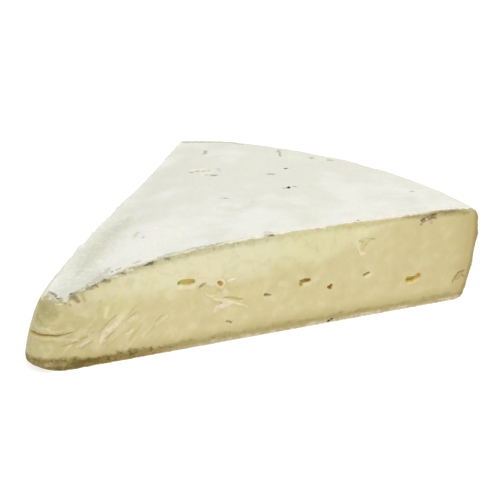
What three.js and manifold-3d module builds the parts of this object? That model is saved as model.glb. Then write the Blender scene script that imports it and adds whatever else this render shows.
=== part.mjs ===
// A wedge cut from a flat, soft, bloomy-rind cheese wheel.
// Millimetres, +Z up. +X runs along the front cut face from the nose to the heel, and +Y runs from that face
// into the cheese. The origin is the bottom centre of the wedge's bounding box, on the surface it rests on.
//
// The wedge is one solid: the rind is mould grown on and into the curd, as a crust is part of its loaf.
import * as THREE from 'three';
import { mergeVertices } from 'three/addons/utils/BufferGeometryUtils.js';
import Module from 'manifold-3d';

// The wheel that the wedge was cut from. Its top falls away a little near the rim.
const WHEEL_RADIUS = 140;
const WHEEL_HEIGHT = 35.6;
const RIM_FALL = 1.2;
const RIM_FALL_LENGTH = 14;
const RIM_TOP_RADIUS = 4;
const RIM_BOTTOM_RADIUS = 2.6;

// The rim stands out like a barrel, most of all a little below its top.
const RIM_BULGE = 2;
const RIM_BULGE_HEIGHT = 25;
const RIM_BULGE_REACH = 17;

// The two knife cuts. They meet a little beyond the wheel's centre, so the front cut runs through the centre
// and the back cut passes beside it.
const CUT_ANGLE = THREE.MathUtils.degToRad(55.6);
const CUTS_MEET_BEYOND_CENTRE = 10.5;

// The nose is the thin end of the wedge. Ripe paste sinks there, so the top droops and the foot creeps out.
// The droop reaches further along the back cut than along the front one.
const NOSE_RADIUS = 6.3;
const NOSE_FOOT_RADIUS = 6.2;
const NOSE_DROOP = 17;
const NOSE_DROOP_LENGTH = 21.6;
const NOSE_DROOP_SPREAD = 0.21;
const FOOT_CREEP = 9.3;
const FOOT_CREEP_LENGTH = 28;

// The top also sinks towards the back cut, most of all midway along it.
const BACK_SAG = 4.9;
const BACK_SAG_WIDTH = 14;

// Facets along the wedge, across it and up it.
const STEPS_ALONG = 40;
const STEPS_ACROSS = 12;
const STEPS_UP = 9;

// Eyes are the small gas holes that the knife opened. Each has its distance along the cut face from the
// wheel's centre, its height above the base, its half length, its half height and its depth.
const FRONT_EYES = [
  { along: 36.7, up: 23.1, halfLength: 3.3, halfHeight: 1.2, depth: 3.0 },
  { along: 47.7, up: 20.7, halfLength: 1.0, halfHeight: 1.0, depth: 2.0 },
  { along: 63.4, up: 14.1, halfLength: 1.2, halfHeight: 0.6, depth: 1.5 },
  { along: 76.7, up: 16.5, halfLength: 2.0, halfHeight: 1.0, depth: 2.2 },
  { along: 86.1, up: 13.3, halfLength: 0.9, halfHeight: 1.0, depth: 2.0 },
  { along: 99.3, up: 15.7, halfLength: 1.6, halfHeight: 0.7, depth: 1.6 },
  { along: 118.2, up: 11.2, halfLength: 3.4, halfHeight: 1.1, depth: 3.0 },
];
const BACK_EYES = [
  { along: 34.0, up: 14.5, halfLength: 1.4, halfHeight: 0.9, depth: 1.8 },
  { along: 52.0, up: 19.5, halfLength: 2.7, halfHeight: 1.1, depth: 2.6 },
  { along: 71.0, up: 12.5, halfLength: 1.0, halfHeight: 0.9, depth: 1.8 },
  { along: 88.0, up: 18.0, halfLength: 1.8, halfHeight: 0.8, depth: 2.0 },
  { along: 109.0, up: 13.5, halfLength: 3.0, halfHeight: 1.0, depth: 2.6 },
];
const EYE_SEGMENTS = 12;
const EYE_RINGS = 8;

const paste = new THREE.MeshStandardMaterial({ color: 0xe3dcb2, roughness: 0.6, metalness: 0 });

// Places on the plan are given from the point where the two cuts meet: a bearing from the front cut face, and
// a distance. The heel is a circle about the wheel's centre, and the nose is a small circle between the cuts.
function distanceToHeel(bearing) {
  const along = CUTS_MEET_BEYOND_CENTRE * Math.cos(bearing);
  const aside = CUTS_MEET_BEYOND_CENTRE * Math.sin(bearing);
  return along + Math.sqrt(WHEEL_RADIUS ** 2 - aside ** 2);
}

function distanceToNose(bearing) {
  const fromMiddle = bearing - CUT_ANGLE / 2;
  const toNoseCentre = NOSE_RADIUS / Math.sin(CUT_ANGLE / 2);
  const aside = toNoseCentre * Math.sin(fromMiddle);
  const halfChord = Math.sqrt(Math.max(0, NOSE_RADIUS ** 2 - aside ** 2));
  return toNoseCentre * Math.cos(fromMiddle) - halfChord;
}

// The top's height over a place on the plan.
function heightAt(distance, bearing) {
  const droopLength = NOSE_DROOP_LENGTH * (1 + (NOSE_DROOP_SPREAD * bearing) / CUT_ANGLE);
  const droop = NOSE_DROOP * Math.exp(-distance / droopLength);
  const fromRim = distanceToHeel(bearing) - distance;
  const fall = RIM_FALL * Math.exp(-fromRim / RIM_FALL_LENGTH);
  const fromBackCut = distance * Math.sin(CUT_ANGLE - bearing);
  const midway = Math.sin((Math.PI * distance) / (WHEEL_RADIUS + CUTS_MEET_BEYOND_CENTRE));
  const sag = BACK_SAG * midway * Math.exp(-((fromBackCut / BACK_SAG_WIDTH) ** 2));
  return WHEEL_HEIGHT - droop - fall - sag;
}

// How far the rim stands out of the wheel's radius at a height.
function rimBulgeAt(z) {
  return RIM_BULGE * (1 - ((z - RIM_BULGE_HEIGHT) / RIM_BULGE_REACH) ** 2);
}

// Rounds a corner by drawing the square beside it in to a quarter disc. inset and depth are the distances to the
// two sides that meet there.
function roundCorner(inset, depth, radius) {
  const a = radius - inset;
  const b = radius - depth;
  if (a <= 0 || b <= 0) return [inset, depth];
  const pull = Math.max(a, b) / Math.hypot(a, b);
  return [radius - a * pull, radius - b * pull];
}

// Carries a point of a unit block onto the wedge: share 0 to 1 from nose to heel, from front cut to back cut,
// and from base to top.
function placeOnWedge(shareAlong, shareAcross, shareUp) {
  const bearing = shareAcross * CUT_ANGLE;
  const nose = distanceToNose(bearing);
  const rim = distanceToHeel(bearing);
  const top = heightAt(THREE.MathUtils.lerp(nose, rim, shareAlong), bearing);
  let z = shareUp * top;
  const heel = rim + rimBulgeAt(z);
  let distance = THREE.MathUtils.lerp(nose, heel, shareAlong);

  const [fromRimAbove, belowTop] = roundCorner(heel - distance, top - z, RIM_TOP_RADIUS);
  distance = heel - fromRimAbove;
  z = top - belowTop;
  const [fromRimBelow, aboveBase] = roundCorner(heel - distance, z, RIM_BOTTOM_RADIUS);
  distance = heel - fromRimBelow;
  z = aboveBase;
  const [fromNose, aboveFoot] = roundCorner(distance - nose, z, NOSE_FOOT_RADIUS);
  distance = nose + fromNose;
  z = aboveFoot;

  const nearness = 1 - THREE.MathUtils.smoothstep(distance, nose, nose + FOOT_CREEP_LENGTH);
  const creep = FOOT_CREEP * nearness * Math.sqrt(Math.max(0, 1 - z / top));
  const x = distance * Math.cos(bearing) - CUTS_MEET_BEYOND_CENTRE - creep;
  const y = distance * Math.sin(bearing);
  return [x, y, z];
}

function makeWedge() {
  const block = new THREE.BoxGeometry(1, 1, 1, STEPS_ALONG, STEPS_ACROSS, STEPS_UP);
  block.translate(0.5, 0.5, 0.5);
  const position = block.getAttribute('position');
  for (let i = 0; i < position.count; i++) {
    position.setXYZ(i, ...placeOnWedge(position.getX(i), position.getY(i), position.getZ(i)));
  }
  return block;
}

// An eye is an ellipsoid centred on its cut face. turn carries the front face's directions to that face's.
function makeEye(eye, turn) {
  const hole = new THREE.SphereGeometry(1, EYE_SEGMENTS, EYE_RINGS);
  hole.scale(eye.halfLength, eye.depth, eye.halfHeight);
  hole.translate(eye.along + CUTS_MEET_BEYOND_CENTRE, 0, eye.up);
  hole.rotateZ(turn);
  hole.translate(-CUTS_MEET_BEYOND_CENTRE, 0, 0);
  return hole;
}

const wasm = await Module();
wasm.setup();

function toSolid(geometry) {
  const bare = geometry.clone();
  bare.deleteAttribute('normal');
  bare.deleteAttribute('uv');
  const merged = mergeVertices(bare);
  return new wasm.Manifold(
    new wasm.Mesh({
      numProp: 3,
      vertProperties: new Float32Array(merged.getAttribute('position').array),
      triVerts: new Uint32Array(merged.getIndex().array),
    }),
  );
}

function toGeometry(solid) {
  const mesh = solid.getMesh();
  const geometry = new THREE.BufferGeometry();
  geometry.setAttribute('position', new THREE.BufferAttribute(mesh.vertProperties, mesh.numProp));
  geometry.setIndex(new THREE.BufferAttribute(mesh.triVerts, 1));
  geometry.computeVertexNormals();
  return geometry;
}

let solid = toSolid(makeWedge());
for (const eye of FRONT_EYES) solid = solid.subtract(toSolid(makeEye(eye, 0)));
for (const eye of BACK_EYES) solid = solid.subtract(toSolid(makeEye(eye, CUT_ANGLE)));

const wedge = new THREE.Mesh(toGeometry(solid), paste);
wedge.name = 'cheese_wedge';

// The wedge is moved as a whole so that the middle of its footprint is the origin.
const bounds = new THREE.Box3().setFromObject(wedge);
const middle = bounds.getCenter(new THREE.Vector3());
wedge.position.set(-middle.x, -middle.y, -bounds.min.z);

const cheese = new THREE.Group();
cheese.add(wedge);

export default cheese;
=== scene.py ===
import math
import bmesh
import bpy
import numpy as np
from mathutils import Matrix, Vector, noise


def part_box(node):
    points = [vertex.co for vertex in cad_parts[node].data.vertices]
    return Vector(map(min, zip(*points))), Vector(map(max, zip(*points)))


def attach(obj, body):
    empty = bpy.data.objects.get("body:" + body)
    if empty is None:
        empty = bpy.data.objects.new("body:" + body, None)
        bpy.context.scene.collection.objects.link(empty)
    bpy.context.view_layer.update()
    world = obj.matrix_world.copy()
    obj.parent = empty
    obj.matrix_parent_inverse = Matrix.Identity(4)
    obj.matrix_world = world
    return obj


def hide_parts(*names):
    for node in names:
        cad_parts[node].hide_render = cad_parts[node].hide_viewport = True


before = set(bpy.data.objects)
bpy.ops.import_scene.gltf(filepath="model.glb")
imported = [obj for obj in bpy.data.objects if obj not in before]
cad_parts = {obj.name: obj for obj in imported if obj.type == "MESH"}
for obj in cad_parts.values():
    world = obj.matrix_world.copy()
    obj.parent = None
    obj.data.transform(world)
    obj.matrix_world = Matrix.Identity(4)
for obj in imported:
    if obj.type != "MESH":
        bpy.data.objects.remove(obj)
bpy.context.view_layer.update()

# A wedge of soft cheese with a bloomy rind. Shapes are worked out in millimetres from the centre of the wheel
# it was cut from, x along the front cut and y into the cheese, and go into the frame in metres at the end.
low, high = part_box("cheese_wedge")
mm = 0.001

wedge = dict(
    wheelRadius=140.0,
    wheelHeight=35.6,
    rimFall=1.2, rimFallLength=14.0,          # the top falls away near the rim
    rimTopRadius=4.0, rimBottomRadius=2.6,
    rimBulge=2.0, rimBulgeHeight=25.0, rimBulgeReach=17.0,
    cutAngle=math.radians(55.6),
    cutsMeetBeyond=10.5,                      # the two cuts meet this far past the wheel's centre
    noseRadius=6.3, noseFootRadius=6.2,
    noseDroop=17.0, noseDroopLength=21.6, noseDroopSpread=.21,     # ripe paste sinks at the thin end
    footCreep=9.3, footCreepLength=28.0,
    backSag=4.9, backSagWidth=14.0,
)
# From the cuts' meeting point to the nose's centre, and round the nose from cut to cut.
noseSide = wedge["noseRadius"] / math.sin(wedge["cutAngle"] / 2)
noseArc = wedge["noseRadius"] * (math.pi - wedge["cutAngle"])
wheelCentre = np.array([
    high.x / mm - wedge["wheelRadius"] - wedge["rimBulge"],
    low.y / mm,
    low.z / mm,
])


def smoothStep(value, start, end):
    t = np.clip((value - start) / (end - start), 0, 1)
    return t * t * (3 - 2 * t)


def heelDistance(bearing):
    aside = wedge["cutsMeetBeyond"] * np.sin(bearing)
    return wedge["cutsMeetBeyond"] * np.cos(bearing) + np.sqrt(wedge["wheelRadius"] ** 2 - aside ** 2)


def noseDistance(bearing):
    fromMiddle = bearing - wedge["cutAngle"] / 2
    halfChord = np.sqrt(np.maximum(0, wedge["noseRadius"] ** 2 - (noseSide * np.sin(fromMiddle)) ** 2))
    return noseSide * np.cos(fromMiddle) - halfChord


def topHeight(distance, bearing):
    droopLength = wedge["noseDroopLength"] * (1 + wedge["noseDroopSpread"] * bearing / wedge["cutAngle"])
    droop = wedge["noseDroop"] * np.exp(-distance / droopLength)
    fall = wedge["rimFall"] * np.exp(-(heelDistance(bearing) - distance) / wedge["rimFallLength"])
    fromBack = distance * np.sin(wedge["cutAngle"] - bearing)
    midway = np.sin(math.pi * distance / (wedge["wheelRadius"] + wedge["cutsMeetBeyond"]))
    sag = wedge["backSag"] * midway * np.exp(-(fromBack / wedge["backSagWidth"]) ** 2)
    return wedge["wheelHeight"] - droop - fall - sag


# Draws the square beside a corner in to a quarter disc. inset and depth are the distances to its two sides.
def roundCorner(inset, depth, radius):
    a, b = radius - inset, radius - depth
    inCorner = (a > 0) & (b > 0)
    pull = np.where(inCorner, np.maximum(a, b) / np.where(inCorner, np.hypot(a, b), 1), 1)
    return radius - a * pull, radius - b * pull


# Carries points of a unit block onto the wedge. Their shares run from nose to heel, from front cut to back
# cut, and from base to top.
def placeOnWedge(share):
    along, across, up = share.T
    bearing = across * wedge["cutAngle"]
    nose, rim = noseDistance(bearing), heelDistance(bearing)
    top = topHeight(nose + (rim - nose) * along, bearing)
    z = up * top
    heel = rim + wedge["rimBulge"] * (1 - ((z - wedge["rimBulgeHeight"]) / wedge["rimBulgeReach"]) ** 2)
    distance = nose + (heel - nose) * along
    inset, depth = roundCorner(heel - distance, top - z, wedge["rimTopRadius"])
    distance, z = heel - inset, top - depth
    inset, z = roundCorner(heel - distance, z, wedge["rimBottomRadius"])
    distance = heel - inset
    inset, z = roundCorner(distance - nose, z, wedge["noseFootRadius"])
    distance = nose + inset
    near = 1 - smoothStep(distance, nose, nose + wedge["footCreepLength"])
    creep = wedge["footCreep"] * near * np.sqrt(np.maximum(0, 1 - z / top))
    x = distance * np.cos(bearing) - wedge["cutsMeetBeyond"] - creep
    place = np.stack([x, distance * np.sin(bearing), z], 1)
    measures = dict(belowTop=top - z, aboveBase=z, inFromRim=heel - distance, distance=distance, creep=creep)
    return place, measures


# How deep each point lies under the rind. The skin itself is at 0, also round the rim's two corners.
def depthUnderRind(measures):
    fromRim = np.maximum(0, measures["inFromRim"])
    depth = np.minimum(fromRim, np.minimum(measures["belowTop"], measures["aboveBase"]))
    for radius, side in ((wedge["rimTopRadius"], "belowTop"), (wedge["rimBottomRadius"], "aboveBase")):
        a, b = radius - fromRim, radius - measures[side]
        depth = np.where((a > 0) & (b > 0), np.maximum(0, radius - np.hypot(a, b)), depth)
    return depth


# Where each point lies on its own face. On the cut skirt, along runs from the heel down the front cut, where
# it is the distance from the wheel's centre. It goes on round the nose and out along the back cut, as less
# and less.
def whereOnSkin(share, place, measures):
    bearing = share[:, 1] * wedge["cutAngle"]
    on = dict(
        front=share[:, 1] < 1e-6, back=share[:, 1] > 1 - 1e-6,
        nose=share[:, 0] < 1e-6, heel=share[:, 0] > 1 - 1e-6,
        top=share[:, 2] > 1 - 1e-6, base=share[:, 2] < 1e-6,
    )
    nose = noseDistance(bearing)
    centre = noseSide * np.array([math.cos(wedge["cutAngle"] / 2), math.sin(wedge["cutAngle"] / 2)])
    turned = np.arctan2(centre[0] - nose * np.cos(bearing), centre[1] - nose * np.sin(bearing))
    straight = measures["distance"] - noseSide * math.cos(wedge["cutAngle"] / 2)
    frontTouch = noseSide * math.cos(wedge["cutAngle"] / 2) - wedge["cutsMeetBeyond"] - measures["creep"]
    roundNose = frontTouch - wedge["noseRadius"] * turned
    pastFront = np.where(on["back"], frontTouch - noseArc - straight, roundNose)
    along = np.where(on["front"], place[:, 0], pastFront)
    on["cut"] = on["front"] | on["back"] | on["nose"]
    on["along"] = along
    on["backAlong"] = measures["distance"] - wedge["cutsMeetBeyond"]
    return on


def tone(red, green, blue):
    shares = (c / 255 for c in (red, green, blue))
    return tuple(((c + 0.055) / 1.055) ** 2.4 if c > .04 else c / 12.92 for c in shares)


# The marks on each face. A path is given as (along, up, half width) in millimetres, on the front cut from the
# wheel's centre, on the back cut likewise, and on the top as (x, y, half width). lift is how far a mark stands
# out, or is sunk if it is below 0; paint is its colour, and tip the colour it turns to at the path's end.
pinkWhite, cream = tone(228, 214, 188), tone(236, 229, 196)
# olive: the grooves beside the knife's streaks, partly their own colour and partly painted shade
butter, olive, deepOlive = tone(214, 202, 146), tone(186, 174, 116), tone(150, 140, 84)

eyes = [
    dict(path=[(34.6, 23.2, .75), (36.4, 23.2, .9), (38.4, 23.1, .8)],
         lift=-.9, paint=tone(200, 194, 104), tip=tone(208, 174, 88)),
    dict(path=[(34.2, 22.9, .35), (34.4, 23.6, .3)], lift=-.1, paint=tone(166, 162, 84), strength=.8),
    dict(path=[(47.2, 21.4, .55), (47.8, 20.7, .65)],
         lift=-.9, paint=tone(204, 134, 60), tip=tone(216, 172, 92)),
    dict(path=[(62.6, 14.3, .5), (63.5, 14.2, .35), (64.7, 14.1, .15)],
         lift=-.6, paint=tone(150, 136, 42), tip=tone(186, 172, 92)),
    dict(path=[(75.2, 15.7, .45), (75.5, 16.6, .5), (76.8, 16.9, .6), (78.2, 16.9, .4)],
         lift=-1.0, paint=tone(206, 190, 74), tip=tone(168, 134, 26)),
    # the dark line along that eye's upper edge sits in a slight groove and is painted shade under its top lip
    dict(path=[(75.0, 17.1, .2), (76.6, 17.5, .28), (78.2, 17.4, .2)], lift=-.2, paint=tone(136, 104, 20)),
    dict(path=[(85.6, 13.2, .65), (86.2, 13.7, .65)],
         lift=-1.0, paint=tone(156, 110, 24), tip=tone(146, 114, 44)),
    dict(path=[(98.2, 15.6, .5), (99.0, 15.9, .45), (100.0, 16.2, .3)],
         lift=-.7, paint=tone(184, 172, 66), tip=tone(164, 150, 50)),
    dict(path=[(115.7, 11.2, 1.0), (117.4, 11.2, .95), (119.8, 11.9, .8)],
         lift=-.75, paint=tone(196, 178, 62), tip=tone(206, 156, 60)),
    dict(path=[(115.1, 11.1, .35), (117.0, 10.8, .3), (118.2, 11.3, .25)],
         lift=-.2, paint=tone(150, 128, 24), strength=.8),
]
backEyes = [
    dict(path=[(33.0, 14.3, .6), (35.1, 14.8, .5)],
         lift=-1.0, paint=tone(168, 130, 52), tip=tone(200, 170, 84)),
    dict(path=[(50.2, 19.2, .7), (52.4, 19.4, .85), (54.2, 20.0, .5)],
         lift=-1.2, paint=tone(190, 182, 84), tip=tone(204, 168, 84)),
    dict(path=[(70.6, 12.3, .6), (71.3, 12.8, .5)],
         lift=-.9, paint=tone(160, 116, 40), tip=tone(196, 158, 80)),
    dict(path=[(86.8, 17.6, .45), (88.0, 18.0, .6), (89.4, 18.2, .35)],
         lift=-.9, paint=tone(186, 174, 70), tip=tone(156, 134, 48)),
    dict(path=[(106.8, 13.2, .5), (108.8, 13.5, .8), (111.2, 13.5, .6)],
         lift=-1.1, paint=tone(198, 168, 66), tip=tone(188, 178, 82)),
]

frontMarks = [
    # light lips round the eyes, mostly below them: slightly raised, and their pale colour is partly painted
    # highlight
    dict(path=[(34.4, 21.4, .8), (38.6, 21.2, .8)], lift=.1, paint=cream, strength=.35),
    dict(path=[(47.6, 21.0, 1.7)], lift=.1, paint=cream, strength=.6, soft=.7),
    dict(path=[(76.5, 15.5, .8), (78.0, 15.7, .6)], lift=.15, paint=tone(228, 206, 172), strength=.8),
    dict(path=[(86.0, 13.4, 1.5)], lift=.1, paint=tone(226, 200, 140), strength=.8, soft=.6),
    dict(path=[(99.0, 14.7, .5), (100.8, 15.4, .5)], lift=.12, paint=cream, strength=.8),
    dict(path=[(115.5, 9.9, .5), (119.0, 10.1, .5)], lift=.1, paint=tone(230, 208, 140), strength=.7),
    # streaks dragged up by the knife, with olive grooves beside them that are partly painted shade
    dict(path=[(8.8, 7.6, .75), (10.2, 10.9, 1.1), (14.1, 13.1, 1.05)],
         lift=.3, paint=pinkWhite, strength=.95, ragged=.8),
    dict(path=[(14.1, 13.1, 1.0), (15.6, 15.4, 1.4)],
         lift=.1, paint=tone(226, 216, 184), strength=.6, soft=.8),
    dict(path=[(10.5, 13.2, .25), (12.4, 14.6, .3), (13.9, 15.8, .2)], lift=-.25, paint=olive, strength=.8),
    dict(path=[(10.6, 8.6, .3), (13.4, 10.6, .35)], lift=-.25, paint=olive, strength=.7),
    dict(path=[(1.7, 7.4, .6), (3.6, 8.4, .75), (5.4, 9.3, .6)],
         lift=.2, paint=pinkWhite, strength=.65, ragged=.8),
    dict(path=[(3.0, 9.7, .25), (5.2, 10.6, .3)], lift=-.25, paint=olive, strength=.75),
    dict(path=[(3.0, 6.4, .25), (6.3, 8.6, .3)], lift=-.2, paint=olive, strength=.6),
    dict(path=[(5.8, 11.3, .2), (8.0, 11.9, .25)], lift=-.15, paint=olive, strength=.5),
    dict(path=[(26.2, 10.2, .4), (29.7, 12.9, .45)], lift=.2, paint=pinkWhite, strength=.65, ragged=.7),
    dict(path=[(25.8, 11.4, .2), (28.6, 13.4, .25)], lift=-.2, paint=tone(176, 162, 104), strength=.7),
    dict(path=[(18.2, 13.3, .9), (20.4, 14.6, .8)], lift=.12, paint=pinkWhite, strength=.5, ragged=.8),
    dict(path=[(16.8, 13.3, .25), (18.6, 14.9, .3), (20.8, 16.3, .2)], lift=-.22, paint=olive, strength=.75),
    dict(path=[(16.8, 8.9, .35), (18.6, 9.9, .4)], lift=.15, paint=tone(228, 216, 172), strength=.7),
    dict(path=[(16.0, 8.9, .2), (18.2, 10.7, .22)], lift=-.15, paint=olive, strength=.6),
    dict(path=[(21.4, 7.0, .5), (24.6, 10.0, .5)], lift=.1, paint=tone(222, 210, 160), strength=.5),
    dict(path=[(22.3, 7.0, .22), (25.6, 10.2, .2)], lift=-.15, paint=olive, strength=.4),
    dict(path=[(9.1, 17.4, .7), (9.3, 21.4, .6)],
         lift=-.35, paint=tone(202, 196, 132), strength=.65, soft=.7),
    dict(path=[(10.9, 16.2, .8), (11.4, 19.0, .9)], lift=.1, paint=tone(226, 222, 168), strength=.6, soft=.8),
    # the torn place beside the first two eyes
    dict(path=[(40.7, 20.7, .35), (41.6, 21.2, .5), (42.6, 21.5, .35)],
         lift=-.5, paint=tone(158, 150, 96), strength=.85),
    dict(path=[(42.6, 20.0, .9), (45.2, 18.7, 1.8)],
         lift=-.5, paint=tone(208, 200, 144), strength=.8, soft=.4),
    dict(path=[(53.2, 16.2, 2.4), (59.0, 16.8, 2.9)],
         lift=-.18, paint=tone(212, 202, 150), strength=.6, soft=.35),
    dict(path=[(49.6, 21.5, .4), (50.6, 21.6, .5), (52.4, 22.0, .3)],
         lift=.2, paint=tone(243, 237, 212), strength=.8),
    dict(path=[(48.8, 18.3, .8), (49.6, 17.2, .9)],
         lift=.05, paint=tone(226, 214, 188), strength=.7, soft=.7),
    dict(path=[(42.3, 18.0, .35), (46.2, 15.7, .4), (49.7, 14.6, .5), (53.2, 13.2, .45), (56.8, 10.9, .3)],
         lift=.35, paint=tone(236, 226, 184), strength=.75),
    dict(path=[(48.6, 16.0, .4), (51.4, 15.2, .55), (54.6, 14.4, .4)],
         lift=-.4, paint=tone(196, 186, 116), strength=.8),
    dict(path=[(45.0, 11.6, .6), (47.0, 13.3, 1.0), (51.0, 13.5, 1.2)],
         lift=.1, paint=tone(230, 214, 198), strength=.8, soft=.6),
    dict(path=[(46.6, 13.5, .15), (47.5, 14.4, .2)], lift=-.2, paint=deepOlive, strength=.8),
    dict(path=[(49.5, 7.4, .25), (50.9, 6.6, .35)], lift=-.4, paint=tone(146, 130, 78), strength=.9),
    dict(path=[(68.0, 17.6, 1.2), (70.0, 16.8, 1.3)], paint=tone(224, 212, 176), strength=.5, soft=.8),
    # the dent under the rind towards the heel
    dict(path=[(96.0, 28.2, .7), (98.4, 28.0, 1.0), (101.4, 28.2, .4)],
         lift=-.4, paint=tone(204, 194, 134), strength=.7, soft=.5),
    dict(path=[(97.0, 27.2, .9), (97.6, 25.2, .6)], lift=-.45, paint=tone(202, 192, 128), strength=.7),
    dict(path=[(98.3, 26.4, .35), (99.2, 26.9, .3)], lift=-.2, paint=tone(168, 154, 88), strength=.7),
    dict(path=[(95.1, 28.6, .25), (95.5, 25.6, .3), (96.4, 23.8, .7), (98.0, 23.6, .8)],
         lift=.15, paint=tone(232, 223, 192), strength=.65),
    dict(path=[(95.6, 31.2, 1.3), (98.0, 31.0, 1.2)], paint=tone(228, 220, 178), strength=.6, soft=.7),
    # the crack by the heel, and the black grain at the foot
    dict(path=[(133.2, 6.8, .3), (134.6, 9.4, .45), (135.6, 10.3, .5), (137.9, 11.0, .35)],
         lift=-.4, paint=tone(150, 128, 70), strength=.85),
    dict(path=[(135.2, 8.6, .9), (136.9, 9.5, 1.0)],
         lift=-.15, paint=tone(176, 142, 88), strength=1, soft=.7),
    dict(path=[(137.6, 8.8, .35), (138.2, 8.4, .3)], lift=-.1, paint=tone(112, 88, 54), strength=.8),
    dict(path=[(85.4, .9, .55), (86.8, 1.2, .45)], lift=.2, paint=tone(38, 30, 24), strength=1, ragged=.2),
    # the browned rind towards the rim, and the pit in its cut edge with mould in it
    dict(path=[(87, 34.2, .7), (92, 33.9, 1.0), (97, 33.8, 1.1), (102, 33.4, 1.2), (109, 33.8, .9)],
         paint=tone(197, 184, 126), strength=.85, soft=1.0),
    dict(path=[(112, 34.2, .7), (119, 33.8, 1.1), (126, 33.9, 1.5), (133, 33.5, 1.7), (137, 32.4, 1.6)],
         paint=tone(152, 136, 80), strength=.8, soft=1.1),
    dict(path=[(125.5, 34.3, .5), (129.4, 34.1, .6), (133.4, 33.7, .5)],
         lift=-.2, paint=tone(136, 122, 70), strength=.7, soft=.9, ragged=.8),
    dict(path=[(111.0, 33.9, .5), (115.0, 33.7, .6)], paint=tone(168, 158, 112), strength=.4, soft=.9),
    dict(path=[(119.6, 31.7, 1.2), (121.8, 32.2, 1.6), (124.2, 32.7, 1.5)],
         lift=-.6, paint=tone(162, 136, 86), strength=.9, soft=.5, ragged=.7),
    dict(path=[(119.2, 32.3, .5), (120.2, 32.6, .5)],
         lift=-.3, paint=tone(118, 100, 56), strength=.9, soft=.6, ragged=.8),
    dict(path=[(121.6, 33.2, .5), (123.0, 33.5, .6), (124.4, 33.9, .5)],
         lift=-.4, paint=tone(100, 82, 46), strength=.9, soft=.6, ragged=.9),
    dict(path=[(122.4, 31.8, .4), (123.4, 32.4, .45)],
         lift=-.3, paint=tone(122, 102, 62), strength=.85, soft=.6, ragged=.8),
    dict(path=[(119.0, 30.8, .45)], lift=-.3, paint=tone(128, 112, 74), strength=.8),
    dict(path=[(119.8, 30.9, .55), (121.4, 31.2, .5), (124.0, 31.7, .55)],
         lift=.3, paint=tone(214, 198, 172), strength=.85, soft=.6, ragged=.7),
    dict(path=[(120.9, 32.2, .55)], lift=.4, paint=tone(226, 208, 182), strength=.85, soft=.6, ragged=.7),
    dict(path=[(122.7, 32.8, .5)], lift=.4, paint=tone(208, 190, 162), strength=.85, soft=.6, ragged=.7),
    dict(path=[(124.9, 32.8, .45)], lift=.3, paint=tone(214, 200, 174), strength=.8, soft=.6, ragged=.7),
    # the sunken end of the wedge: its facet, the curved ridge under it, and the split
    # the facet: olive, partly its own colour and partly painted shade of the sunken face
    dict(path=[(-9.8, 21.0, 2.6), (-6.6, 20.0, 3.8), (-3.4, 19.8, 3.6)],
         paint=tone(169, 161, 104), strength=.9, soft=1.0, ragged=.6),
    dict(path=[(-10.6, 18.6, .3), (-8.4, 16.8, .35), (-5.6, 15.7, .35), (-3.6, 16.0, .25)],
         lift=-.15, paint=tone(166, 158, 84), strength=.65),
    dict(path=[(-10.9, 17.4, .4), (-8.4, 15.6, .4), (-5.6, 14.6, .4)],
         lift=.2, paint=tone(226, 220, 166), strength=.6),
    # a darker patch at the facet's left edge, also partly painted shade
    dict(path=[(-9.8, 20.6, 1.3), (-10.4, 18.0, 1.0)],
         lift=-.1, paint=tone(176, 168, 110), strength=.6, soft=.9),
    dict(path=[(3.2, 19.8, 2.4), (1.6, 20.8, 1.8)],
         lift=.15, paint=tone(206, 198, 156), strength=.6, soft=.8),
    dict(path=[(-11.0, 18.4, .8), (-8.8, 16.6, .9), (-6.6, 15.6, .8)],
         lift=.2, paint=tone(172, 163, 98), strength=.6, soft=.9),
    dict(path=[(-8.2, 16.6, .5), (-5.4, 15.6, .5), (-2.9, 16.2, .5), (-1.0, 18.0, .4)],
         lift=.15, paint=tone(202, 195, 130), strength=.5, soft=1.0),
    dict(path=[(-11.6, 15.8, 1.0), (-9.2, 14.8, .8), (-5.4, 14.0, .6), (-2.0, 13.6, .4)],
         lift=.3, paint=tone(214, 202, 164), strength=.5, soft=.8),
    dict(path=[(-12.8, 11.7, .6), (-9.0, 12.0, .5), (-5.4, 11.6, .5), (-1.8, 11.2, .45)],
         lift=.3, paint=tone(216, 210, 164), strength=.5, soft=.8),
    dict(path=[(-4.8, 11.0, .6), (-1.2, 10.4, .7), (2.4, 9.8, .5)],
         lift=.15, paint=tone(220, 206, 166), strength=.5, soft=.9),
    dict(path=[(-3.0, 8.5, .3), (-.2, 8.7, .35), (1.7, 9.0, .3)],
         lift=-.3, paint=tone(184, 170, 96), strength=.6),
    dict(path=[(-13.6, 12.9, .36), (-11.2, 12.9, .38), (-9.2, 13.0, .34), (-6.8, 12.8, .3),
               (-4.2, 12.3, .3), (-1.6, 12.2, .26), (.6, 12.6, .2)],
         
         lift=-.6, soft=.6, paint=tone(218, 164, 48), tip=tone(206, 198, 84), strength=1, stray=.5),
    dict(path=[(-12.4, 13.2, .14), (-9.4, 13.2, .2), (-6.6, 12.9, .24), (-4.2, 12.4, .18), (-1.8, 12.3, .14)],
         lift=-.3, paint=tone(150, 112, 12), strength=.6, stray=.5),
    # greyish brown low on the nose: painted shade
    dict(path=[(-13.0, 3.4, 1.8), (-6.0, 2.6, 1.8), (0.0, 2.0, 1.2)],
         paint=tone(156, 140, 88), strength=.5, soft=1.1),
    dict(path=[(-9.0, 1.2, 1.2), (-4.0, .9, 1.4), (3.0, 1.0, 1.3)],
         paint=tone(104, 88, 38), strength=.7, soft=1.0),
    dict(path=[(-13.5, 5.5, 1.6), (-13.5, 9.0, 1.2)], paint=tone(182, 174, 124), strength=.5, soft=1.0),
    dict(path=[(-1.0, 6.4, 1.6), (3.5, 5.0, 1.5)], paint=tone(206, 188, 130), strength=.5, soft=1.0),
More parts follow.
